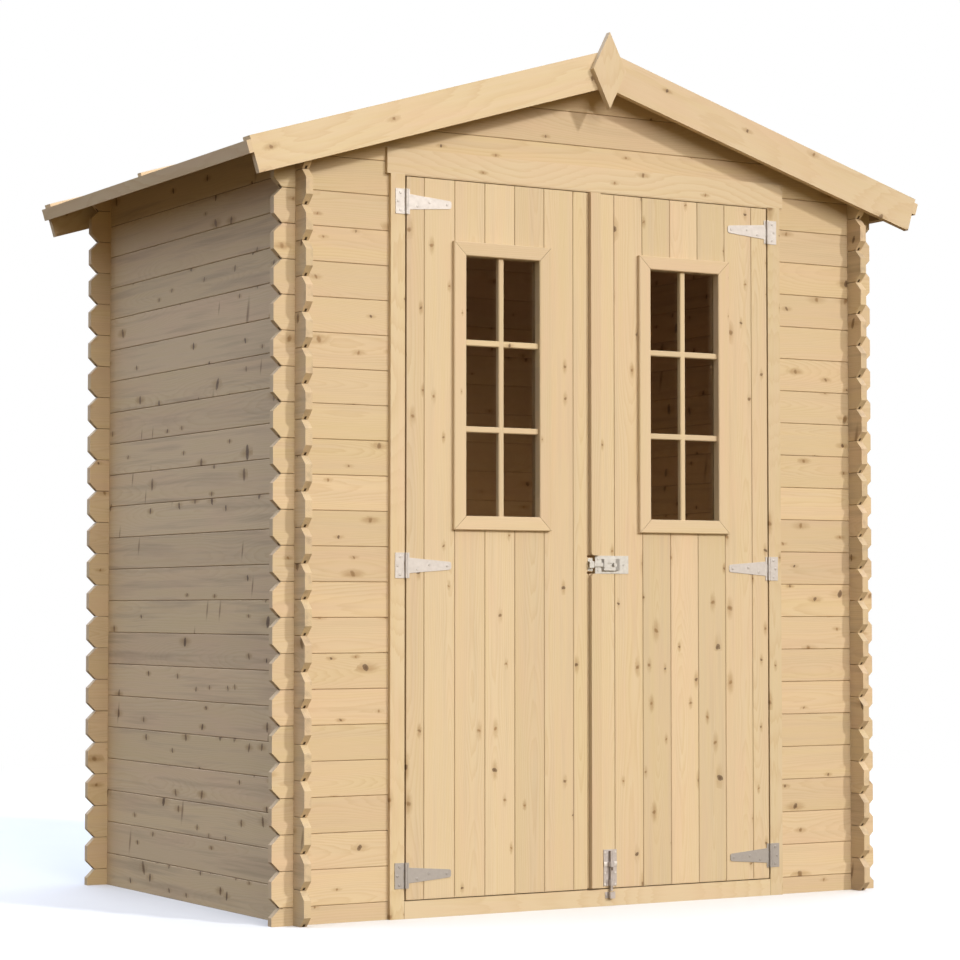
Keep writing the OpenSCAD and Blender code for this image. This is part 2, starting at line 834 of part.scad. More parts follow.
back_wall();
left_wall();
right_wall();
front_wall_left();
front_wall_right();
front_bottom_log();
front_gable();
left_roof();
right_roof();
front_left_barge();
front_right_barge();
back_left_barge();
back_right_barge();
left_laths();
right_laths();
left_fascia();
right_fascia();
ridge_beam();
purlins();
front_diamond();
back_diamond();
left_post();
right_post();
head_board();
threshold();
left_door();
right_door();
left_window_frame();
right_window_frame();
left_glass();
right_glass();
left_ledges();
right_ledges();
cover_strip();
keeper_block();
left_hinge_plates();
right_hinge_plates();
left_hinge_straps();
right_hinge_straps();
latch_case();
latch_slide();
latch_keeper();
bolt_plate();
bolt_rod();
bolt_keeper();
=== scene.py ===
"""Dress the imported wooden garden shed: spruce boards, window glass, zinc hardware, screws, nails, studio and camera.

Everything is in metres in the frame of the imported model: X along the front, Y to the back, Z up, doors facing -Y.
"""

import logging
import math
from collections.abc import Callable, Iterable, Sequence
from dataclasses import dataclass, replace
from enum import Enum
from functools import partial

import bpy
from mathutils import Matrix, Vector


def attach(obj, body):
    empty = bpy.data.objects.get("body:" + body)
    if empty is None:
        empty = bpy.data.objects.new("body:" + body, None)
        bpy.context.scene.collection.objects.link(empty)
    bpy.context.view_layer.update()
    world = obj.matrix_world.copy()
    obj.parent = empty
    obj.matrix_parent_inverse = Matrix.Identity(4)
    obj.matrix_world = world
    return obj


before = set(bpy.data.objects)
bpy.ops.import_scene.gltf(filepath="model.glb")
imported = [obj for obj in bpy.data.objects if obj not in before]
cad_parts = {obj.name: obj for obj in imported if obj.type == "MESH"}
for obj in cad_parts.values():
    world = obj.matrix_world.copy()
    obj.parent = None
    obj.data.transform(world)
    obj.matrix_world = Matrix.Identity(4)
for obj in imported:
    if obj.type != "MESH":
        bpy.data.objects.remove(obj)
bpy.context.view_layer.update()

logging.basicConfig(level=logging.INFO, format="%(name)s: %(message)s")
log = logging.getLogger("garden shed")

MM = 0.001
Node = bpy.types.Node
Tree = bpy.types.NodeTree
Socket = bpy.types.NodeSocket
Adder = Callable[..., Node]


class Axis(Enum):
    """A direction of the frame, by its place in a vector."""

    X = 0
    Y = 1
    Z = 2


class Cut(Enum):
    """How the pieces of a finish lie to each other, which decides where their grain turns."""

    BOARDS = "boards"
    WINDOW = "window"


def linear(code: str) -> tuple[float, float, float, float]:
    """Turn an sRGB hex colour into linear light.

    Args:
        code: the colour as "#RRGGBB".

    Returns:
        Red, green, blue and an alpha of 1.
    """
    parts = [int(code[i:i + 2], 16) / 255 for i in (1, 3, 5)]
    return (*[c / 12.92 if c <= 0.04045 else ((c + 0.055) / 1.055) ** 2.4 for c in parts], 1.0)


def add(tree: Tree, kind: str, inputs: Sequence | dict | None = None, **settings: object) -> Node:
    """Add one shader node with its settings and links.

    Args:
        tree: the node tree that gets it.
        kind: the node's type without the leading "ShaderNode", and after a colon its operation if it has one.
        inputs: values for its inputs, in their order or by name. A node stands for its first output.
        settings: values for the node's own properties.

    Returns:
        The new node.
    """
    kind, _, operation = kind.partition(":")
    node = tree.nodes.new("ShaderNode" + kind)
    for key, value in (settings | ({"operation": operation} if operation else {})).items():
        setattr(node, key, value)
    if not isinstance(inputs, dict):
        inputs = dict(zip((socket.identifier for socket in node.inputs if socket.enabled), inputs or ()))
    for key, value in inputs.items():
        socket = next(socket for socket in node.inputs if key in (socket.identifier, socket.name))
        if isinstance(value, Node):
            value = next(output for output in value.outputs if output.enabled)
        if isinstance(value, Socket):
            tree.links.new(value, socket)
        else:
            socket.default_value = value
    return node


def new_material(name: str) -> tuple[bpy.types.Material, Tree, Node]:
    """Make an empty material.

    Args:
        name: the material's name.

    Returns:
        The material, its node tree, and its output node.
    """
    material = bpy.data.materials.new(name)
    material.use_nodes = True
    tree = material.node_tree
    tree.nodes.clear()
    return material, tree, add(tree, "OutputMaterial")


@dataclass(frozen=True)
class Spot:
    """Where a point lies: along the grain, across the board from its middle, through it, and the board's number."""

    along: Node | Socket
    local: Node | Socket
    depth: Socket
    index: Node


@dataclass(frozen=True)
class PlanedSpruce:
    """Untreated spruce, sawn and planed smooth.

    It gives the eye pale honey boards with faint growth rings that run along each board and close in arches where
    the saw went near the heart, fine silky fibres, small brown knots that crowd on some boards and are rare on
    others, and slightly pinker and yellower boards and patches. End grain shows the rings as arcs.
    """

    name: str
    grain: Axis
    across: Axis
    pitch: float = 1.0
    phase: float = 0.5
    fold: tuple[bool, bool, bool] = (False, False, False)
    origin: tuple[float, float, float] = (0.0, 0.0, 0.0)
    turn: float = 0.0
    cut: Cut = Cut.BOARDS
    # Width of the painted shade line in the narrow gap of each joint
    joint_shade_width: float = 0.0
    # Size of the dark spot of painted shade at the mouth of the slot on the logs' cut ends
    mouth_shade_size: float = 0.0
    # Half the length of a piece whose two ends get a painted shade line, where it meets its neighbours
    half_length: float = 0.0
    knots: float = 0.30
    dead_knots: float = 0.0
    knot_size: float = 1.0
    knot_rise: float = 1.0
    spikes: float = 0.0
    smudge: float = 0.0
    seed: float = 0.0
    early: str = "#CFBC9B"
    late: str = "#B79568"
    pink: str = "#D0AE90"
    yellow: str = "#CAB786"
    resin: str = "#A08055"
    young_knot: str = "#927248"
    dead_knot: str = "#573D27"
    bark: str = "#3E281A"
    branch: str = "#785A3E"
    # Colour of the painted shade in the narrow joint gaps
    joint_gap_shade: str = "#5F4022"
    # Colour of the painted shade at the mouth of the slot on the logs' cut ends
    painted_mouth_shade: str = "#3A260F"
    ring: float = 3.4 * MM
    knot_cell: float = 95 * MM
    spike_cell: float = 85 * MM

    def build(self) -> bpy.types.Material:
        """Make the material.

        Returns:
            The finished spruce material.
        """
        material, tree, output = new_material(self.name)
        node = partial(add, tree)
        coordinates = node("TexCoord")
        spot = self.place(node, coordinates)

        # Random numbers of each board
        number = node("Math:ADD", (spot.index, self.seed))
        chance = node("TexWhiteNoise", (number,), noise_dimensions="1D")
        dice = node("SeparateColor", (chance.outputs["Color"],))
        luck = node("SeparateColor", (node("TexWhiteNoise", (node("Math:ADD", (number, 57.3)),),
                                           noise_dimensions="1D").outputs["Color"],))
        run = node("Math:MULTIPLY_ADD", (chance.outputs["Value"], 40.0, spot.along))
        shifted = replace(spot, along=run)

        facing = self.grain_normal(node, coordinates)
        face = node("Math:LESS_THAN", (facing, 0.5))
        knots = self.knot_marks(node, shifted, luck, face)
        rings = self.growth_rings(node, shifted, dice, knots["halo"])

        # Fibres, about a millimetre wide here so that they still show, streaks and cloudy patches
        fibres = node("TexNoise", (self.stretched(node, shifted, 14.0, 900.0), 1.0, 2.0, 0.6))
        streaks = node("TexNoise", (self.stretched(node, shifted, 2.2, 48.0), 1.0, 3.0))
        clouds = node("TexNoise", (self.stretched(node, shifted, 3.5, 14.0), 1.0, 2.0))
        warm = node("MapRange", (node("Math:MULTIPLY_ADD", (dice.outputs[1], 0.22, clouds)), 0.50, 0.86, 0.0, 0.38))
        gold = node("MapRange", (node("Math:MULTIPLY_ADD", (luck.outputs[1], 0.24, streaks)), 0.54, 0.92, 0.0, 0.42))
        strength = node("MapRange", (clouds, 0.3, 0.7, 0.36, 0.13))
        lines = node("Math:MULTIPLY", (rings, strength))
        stain = node("Math:MULTIPLY", (knots["halo"], node("MapRange", (streaks, 0.35, 0.65, 0.20, 0.66))))
        age = node("Math:ADD", (node("Math:POWER", (knots["pick"], 2.6)), self.dead_knots), use_clamp=True)
        speck = node("MapRange", (knots["speck"], 0.48, 0.62, 0.0, 0.5))
        age = node("Math:ADD", (age, node("Math:MULTIPLY", (speck, age))), use_clamp=True)
        heartwood = node("Mix", (age, linear(self.young_knot), linear(self.dead_knot)), data_type="RGBA")
        core = node("Math:MULTIPLY", (knots["core"], 0.88))
        bark = node("Math:MULTIPLY", (knots["rim"], node("Math:MULTIPLY", (age, 0.60))))
        layers = [(warm, linear(self.pink)), (gold, linear(self.yellow)), (lines, linear(self.late)),
                  (stain, linear(self.resin)), (core, heartwood), (bark, linear(self.bark))]
        if self.spikes:
            spike = node("Math:MULTIPLY", (face, self.spike_knots(node, shifted)))
            layers.append((spike, linear(self.branch)))

        # Painted shade: a brown line in the narrow gap of each joint and at both ends of the threshold, and a dark
        # spot at the mouth of the slot on the cut ends of the logs, where these openings lie in shade
        if self.joint_shade_width:
            edge = node("Math:SUBTRACT", (self.pitch / 2, node("Math:ABSOLUTE", (spot.local,))))
            gap = node("MapRange", (edge, 0.3 * self.joint_shade_width, self.joint_shade_width, 0.82, 0.0),
                       interpolation_type="SMOOTHSTEP")
            layers.append((gap, linear(self.joint_gap_shade)))
        if self.half_length:
            edge = node("Math:SUBTRACT", (self.half_length, node("Math:ABSOLUTE", (spot.along,))))
            gap = node("MapRange", (edge, 0.5 * MM, 1.6 * MM, 0.75, 0.0), interpolation_type="SMOOTHSTEP")
            layers.append((gap, linear(self.joint_gap_shade)))
        # Dark spot of painted shade at the mouth of the slot, on the slanted faces of the logs' cut ends
        if self.mouth_shade_size:
            low = node("MapRange", (spot.local, self.mouth_shade_size - self.pitch / 2,
                                    1.4 * self.mouth_shade_size - self.pitch / 2, 1.0, 0.0))
            deep = node("MapRange", (node("Math:ABSOLUTE", (spot.depth,)), 0.45 * self.mouth_shade_size,
                                     0.6 * self.mouth_shade_size, 1.0, 0.0))
            slanted = node("Math:COMPARE", (facing, 0.7, 0.2))
            mouth = node("Math:MULTIPLY", (node("Math:MULTIPLY", (low, deep)), slanted))
            layers.append((mouth, linear(self.painted_mouth_shade)))
        colour = linear(self.early)
        for share, tint in layers:
            colour = node("Mix", (share, colour, tint), data_type="RGBA")

        # Tone of each board, fibres, and slightly deeper end grain
        tone = node("Math:MULTIPLY_ADD", (luck.outputs[2], 0.11, 0.90))
        tone = node("Math:MULTIPLY_ADD", (node("Math:SUBTRACT", (fibres, 0.5)), 0.10, tone))
        if self.smudge:
            grey = node("MapRange", (streaks, 0.50, 0.30, 0.0, self.smudge))
            tone = node("Math:SUBTRACT", (tone, grey))
        end = node("MapRange", (facing, 0.80, 0.95, 1.0, 0.96), interpolation_type="SMOOTHSTEP")
        toned = node("VectorMath:SCALE", (colour, node("Math:MULTIPLY", (tone, end))))

        gloss = node("MapRange", (rings, 0.0, 1.0, 0.66, 0.56))
        rough = node("Math:MULTIPLY_ADD", (knots["core"], -0.14, gloss))
        relief = node("Math:MULTIPLY_ADD", (rings, 0.35, node("Math:MULTIPLY", (fibres, 0.6))))
        relief = node("Math:MULTIPLY_ADD", (knots["core"], 0.8, relief))
        bump = node("Bump", {"Strength": 0.35, "Distance": 0.5 * MM, "Height": relief})
        surface = node("BsdfPrincipled", {"Base Color": toned, "Roughness": rough, "Normal": bump,
                                          "Specular IOR Level": 0.35})
        tree.links.new(surface.outputs[0], output.inputs["Surface"])
        return material

    def place(self, node: Adder, coordinates: Node) -> Spot:
        """Find where a point lies in its board.

        Args:
            node: adds a node to the tree.
            coordinates: the piece's coordinates.

        Returns:
            The place.
        """
        split = node("SeparateXYZ", (coordinates.outputs["Object"],))
        side = 0.0
        folded = list(split.outputs)
        for i, fold in enumerate(self.fold):
            if fold:
                side = node("Math:MULTIPLY_ADD", (node("Math:SIGN", (folded[i],)), 3.7 + 2.9 * i, side))
                folded[i] = node("Math:ABSOLUTE", (folded[i],))
        moved = node("VectorMath:SUBTRACT", (node("CombineXYZ", folded), self.origin))
        turned = node("VectorRotate", {"Vector": moved, "Angle": self.turn}, rotation_type="Y_AXIS")
        place = node("SeparateXYZ", (turned,)).outputs
        deep = ({0, 1, 2} - {self.grain.value, self.across.value}).pop()
        along, width, depth = (place[i] for i in (self.grain.value, self.across.value, deep))
        if self.cut is Cut.WINDOW:
            return self.window_members(node, place, depth)
        count = node("Math:MULTIPLY_ADD", (width, 1 / self.pitch, self.phase))
        index = node("Math:FLOOR", (count,))
        middle = node("Math:SUBTRACT", (node("Math:SUBTRACT", (count, index)), 0.5))
        return Spot(along, node("Math:MULTIPLY", (middle, self.pitch)), depth, node("Math:ADD", (index, side)))

    def stretched(self, node: Adder, spot: Spot, along: float, across: float) -> Node:
        """Coordinates drawn out along the grain.

        Args:
            node: adds a node to the tree.
            spot: the place, with each board's own shift.
            along: scale along the grain.
            across: scale across it.

        Returns:
            The coordinates.
        """
        return node("CombineXYZ", (node("Math:MULTIPLY", (spot.along, along)),
                                   node("Math:MULTIPLY", (spot.local, across)),
                                   node("Math:MULTIPLY_ADD", (spot.depth, across, 5.0))))

    def knot_marks(self, node: Adder, spot: Spot, luck: Node, face: Node) -> dict[str, Node | Socket]:
        """Knots: one point in each cell of a coarse net, kept by chance, each an oval with an uneven rim.

        Args:
            node: adds a node to the tree.
            spot: the place, with each board's own shift.
            luck: random numbers of the board.
            face: 1 on the faces of the board and 0 on its cut ends, which show no knots.

        Returns:
            How strongly the core, the rim and the halo show, 0 to 1, a random number of the knot, and its specks.
        """
        wobble = node("TexNoise", (node("CombineXYZ", (spot.along, spot.local, spot.depth)), 160.0, 1.0))
        sway = node("Math:SUBTRACT", (wobble, 0.5))
        width = node("Math:MULTIPLY_ADD", (spot.index, 1.37, spot.local))
        net = node("CombineXYZ", (node("Math:MULTIPLY_ADD", (sway, 5.0 * MM, spot.along)),
                                  node("Math:MULTIPLY_ADD", (sway, -4.5 * MM, width))))
        cells = node("TexVoronoi", {"Vector": net, "Scale": 1 / self.knot_cell, "Randomness": 0.9},
                     voronoi_dimensions="2D")
        pick = node("SeparateColor", (cells.outputs["Color"],)).outputs
        crowd = node("MapRange", (luck.outputs[0], 0.0, 1.0, 0.5 * self.knots, 1.7 * self.knots))
        kept = node("Math:MULTIPLY", (face, node("Math:LESS_THAN", (pick[0], crowd))))
        radius = node("Math:MULTIPLY_ADD", (node("Math:POWER", (pick[1], 2.6)), 4.8 * MM * self.knot_size,
                                            2.8 * MM * self.knot_size))
        offset = node("VectorMath:SUBTRACT", (net, cells.outputs["Position"]))
        part = node("SeparateXYZ", (offset,)).outputs
        lean = node("Math:SUBTRACT", (node("Math:FRACT", (node("Math:MULTIPLY", (pick[0], 37.7)),)), 0.5))
        slender = node("MapRange", (node("Math:FRACT", (node("Math:MULTIPLY", (pick[1], 23.3)),)), 0.0, 1.0,
                                    1 / self.knot_rise, 0.64 / self.knot_rise))
        beside = node("Math:MULTIPLY_ADD", (node("Math:MULTIPLY", (lean, part[1])), 0.7, part[0]))
        oval = node("VectorMath:LENGTH", (node("CombineXYZ", (beside, node("Math:MULTIPLY", (part[1], slender)))),))
        share = node("Math:DIVIDE", (oval.outputs["Value"], radius))
        core = node("MapRange", (share, 0.40, 1.35, 1.0, 0.0), interpolation_type="SMOOTHSTEP")
        off_rim = node("Math:ABSOLUTE", (node("Math:SUBTRACT", (share, 0.92)),))
        rim = node("MapRange", (off_rim, 0.0, 0.30, 1.0, 0.0), interpolation_type="SMOOTHSTEP")
        flame = node("VectorMath:LENGTH", (node("VectorMath:MULTIPLY", (offset, (0.36, 1.0, 0.0))),))
        reach = node("Math:DIVIDE", (flame.outputs["Value"], radius))
        halo = node("MapRange", (reach, 0.6, 2.6, 1.0, 0.0), interpolation_type="SMOOTHSTEP")
        marks = {name: node("Math:MULTIPLY", (kept, mark))
                 for name, mark in (("core", core), ("rim", rim), ("halo", halo))}
        return marks | {"pick": pick[2], "speck": wobble}

    def growth_rings(self, node: Adder, spot: Spot, dice: Node, halo: Node) -> Node:
        """Growth rings: distance from a wandering heart below the face, bent round the knots.

        Args:
            node: adds a node to the tree.
            spot: the place, with each board's own shift.
            dice: random numbers of the board.
            halo: how near a knot is.

        Returns:
            From 0 in early wood to 1 in late wood.
        """
        wander = node("TexNoise", (node("Math:MULTIPLY", (spot.along, 1.3)), 1.0, 1.5), noise_dimensions="1D")
        sway = node("TexNoise", (node("Math:MULTIPLY_ADD", (spot.along, 0.9, 31.0)), 1.0, 1.0), noise_dimensions="1D")
        heart = node("Math:MULTIPLY_ADD", (dice.outputs[1], 46 * MM, 9 * MM))
        heart = node("Math:MULTIPLY_ADD", (node("Math:SUBTRACT", (wander, 0.5)), 62 * MM, heart))
        below = node("Math:ADD", (spot.depth, heart))
        middle = node("Math:MULTIPLY", (node("Math:SUBTRACT", (dice.outputs[0], 0.5)), 95 * MM))
        middle = node("Math:MULTIPLY_ADD", (node("Math:SUBTRACT", (sway, 0.5)), 34 * MM, middle))
        beside = node("Math:SUBTRACT", (spot.local, middle))
        apart = node("VectorMath:LENGTH", (node("CombineXYZ", (beside, below)),)).outputs["Value"]
        ripple = node("TexNoise", (self.stretched(node, spot, 9.0, 120.0), 1.0, 2.0))
        bent = node("Math:MULTIPLY_ADD", (node("Math:SUBTRACT", (ripple, 0.5)), 3.4 * MM, apart))
        bent = node("Math:MULTIPLY_ADD", (halo, 3.4 * MM, bent))
        wide = node("Math:MULTIPLY_ADD", (dice.outputs[2], 0.8 * self.ring, 0.75 * self.ring))
        turn = node("Math:FRACT", (node("Math:DIVIDE", (bent, wide)),))
        rings = node("ValToRGB", (turn,))
        ramp = rings.color_ramp
        for element in ramp.elements:
            element.color = (0.05, 0.05, 0.05, 1)
        for position, level in ((0.45, 0.18), (0.78, 0.75), (0.90, 1.0)):
            ramp.elements.new(position).color = (level, level, level, 1)
        return rings

    def window_members(self, node: Adder, place: Sequence[Socket], depth: Socket) -> Spot:
        """Turn the grain along each rail and bar of a window frame, which meet in mitres.

        Args:
            node: adds a node to the tree.
            place: the place from the window's middle in X, Y and Z.
            depth: the place through the frame.

        Returns:
            The place, with a number for the piece of wood.
        """
        x, z = place[0], place[2]
        off_x = node("Math:ABSOLUTE", (x,))
        beside = node("Math:SUBTRACT", (off_x, WINDOW_WIDTH / 2))
        above = node("Math:SUBTRACT", (node("Math:ABSOLUTE", (z,)), WINDOW_HEIGHT / 2))
        stile = node("Math:GREATER_THAN", (beside, above))
        inside = node("Math:LESS_THAN", (node("Math:MAXIMUM", (beside, above)), -WINDOW_BORDER))
        upright_bar = node("Math:LESS_THAN", (off_x, WINDOW_BAR / 2))
        upright = node("Mix", (inside, stile, upright_bar))
        along = node("Mix", (upright, x, z))
        local = node("Mix", (upright, z, x))
        row = node("Math:ROUND", (node("Math:MULTIPLY", (local, 9.0)),))
        index = node("Math:MULTIPLY_ADD", (upright, 2.0, node("Math:MULTIPLY_ADD", (inside, 5.0, row))))
        return Spot(along, local, depth, index)

    def spike_knots(self, node: Adder, spot: Spot) -> Node:
        """Branches cut lengthwise, which cross a board as soft upright streaks.

        Args:
            node: adds a node to the tree.
            spot: the place, with each board's own shift.

        Returns:
            How strongly a streak shows, 0 to 1.
        """
        width = node("Math:MULTIPLY_ADD", (spot.index, 2.11, spot.local))
        net = node("CombineXYZ", (node("Math:MULTIPLY_ADD", (spot.local, 0.18, spot.along)),
                                  node("Math:MULTIPLY", (width, 0.2))))
        cells = node("TexVoronoi", {"Vector": net, "Scale": 1 / self.spike_cell, "Randomness": 1.0},
                     voronoi_dimensions="2D")
        pick = node("SeparateColor", (cells.outputs["Color"],)).outputs
        kept = node("Math:LESS_THAN", (pick[0], self.spikes))
        radius = node("Math:MULTIPLY_ADD", (pick[1], 5.0 * MM, 3.0 * MM))
        share = node("Math:DIVIDE", (node("Math:MULTIPLY", (cells.outputs["Distance"], self.spike_cell)), radius))
        shape = node("MapRange", (share, 0.0, 1.5, 0.75, 0.0), interpolation_type="SMOOTHSTEP")
        return node("Math:MULTIPLY", (kept, shape))

    def grain_normal(self, node: Adder, coordinates: Node) -> Node:
        """How far a face looks along the grain.

        Args:
            node: adds a node to the tree.
            coordinates: the piece's coordinates.

        Returns:
            The part of the direction that lies along the grain, 0 to 1.
        """
        normal = node("SeparateXYZ", (coordinates.outputs["Normal"],))
        facing = node("Math:ABSOLUTE", (normal.outputs[self.grain.value],))
        if self.grain is Axis.X and self.turn:
            level = node("Math:MULTIPLY", (facing, math.cos(self.turn)))
            lean = node("Math:MULTIPLY_ADD", (normal.outputs[2], -abs(math.sin(self.turn)), level))
            facing = node("Math:ABSOLUTE", (lean,))
        return facing


@dataclass(frozen=True)
class ZincPlatedSteel:
    """Pressed steel with bright zinc plating.

    It gives the eye a pale, slightly clouded silver sheen with faint crystal patches and soft, wide highlights.
    """

    name: str
    colour: str = "#C8C3BF"
    cloud: str = "#C1BCB8"
    # Darker, greyer colour below the height that follows
    lower_grey: str = "#A8A39F"
    lower_grey_height: float = 0.0
    roughness: float = 0.60
    patch: float = 7 * MM

    def build(self) -> bpy.types.Material:
        """Make the material.

        Returns:
            The finished zinc material.
        """
        material, tree, output = new_material(self.name)
        node = partial(add, tree)
        place = node("TexCoord").outputs["Object"]
        crystals = node("TexVoronoi", {"Vector": place, "Scale": 1 / self.patch, "Randomness": 1.0})
        clouds = node("TexNoise", (place, 90.0, 3.0))
        fine = node("TexNoise", (place, 1400.0, 2.0))
        blend = node("Math:MULTIPLY_ADD", (crystals.outputs["Color"], 0.45, clouds))
        amount = node("MapRange", (blend, 0.45, 1.1, 0.0, 0.9))
        colour = node("Mix", (amount, linear(self.colour), linear(self.cloud)), data_type="RGBA")
        if self.lower_grey_height:
            # Darker and greyer below a given height, which takes in the lowest hinges
            height = node("Math:MULTIPLY_ADD", (clouds, 0.1, node("SeparateXYZ", (place,)).outputs[2]))
            low = node("MapRange", (height, self.lower_grey_height, 1.5 * self.lower_grey_height, 0.85, 0.0))
            colour = node("Mix", (low, colour, linear(self.lower_grey)), data_type="RGBA")
        rough = node("MapRange", (clouds, 0.3, 0.7, self.roughness - 0.04, self.roughness + 0.05))
        bump = node("Bump", {"Strength": 0.12, "Distance": 0.08 * MM, "Height": fine})
        surface = node("BsdfPrincipled", {"Base Color": colour, "Metallic": 1.0, "Roughness": rough, "Normal": bump})
        tree.links.new(surface.outputs[0], output.inputs["Surface"])
        return material


@dataclass(frozen=True)
class WindowGlass:
    """Clear flat glass.

    It gives the eye a dark pane over the dim wooden room, with a faint reflection and a slight wave.
    """

    name: str
    tint: str = "#E6DDD0"
    dust: str = "#D8CDBC"

    def build(self) -> bpy.types.Material:
        """Make the material.

        Returns:
            The finished glass material.
        """
        material, tree, output = new_material(self.name)
        node = partial(add, tree)
        place = node("TexCoord").outputs["Object"]
        wave = node("TexNoise", (place, 5.0, 1.0))
        dust = node("TexNoise", (place, 60.0, 3.0))
        film = node("MapRange", (dust, 0.4, 0.8, 0.02, 0.06))
        colour = node("Mix", (dust, linear(self.tint), linear(self.dust)), data_type="RGBA")
        bump = node("Bump", {"Strength": 0.05, "Distance": 1 * MM, "Height": wave})
        surface = node("BsdfPrincipled", {"Base Color": colour, "Roughness": film, "Transmission Weight": 1.0,
                                          "IOR": 1.5, "Normal": bump})
        tree.links.new(surface.outputs[0], output.inputs["Surface"])
        return material


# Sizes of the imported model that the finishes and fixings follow
SLOPE = math.radians(16.92)
RIDGE_Z = 2173.8 * MM
WALL_X = 854 * MM
WALL_Y = 586 * MM
WALL = 19 * MM
FACE_Y = -598 * MM
SHEET = 2 * MM
DOOR_MIDDLE_Y = -590 * MM
WINDOW_X = 278 * MM
WINDOW_Z = 1320 * MM
WINDOW_WIDTH = 286 * MM
WINDOW_HEIGHT = 724 * MM
WINDOW_BORDER = 35 * MM
WINDOW_BAR = 15.2 * MM
ROOF_PITCH = 91 * MM
DOOR_PITCH = 87.6 * MM
DOOR_FIRST_JOINT = 63 * MM
HINGE_HEIGHTS = (106 * MM, 868 * MM, 1772 * MM)

# How far a fixing or bead is sunk in what carries it, so that no gap shows
SINK = 0.1 * MM


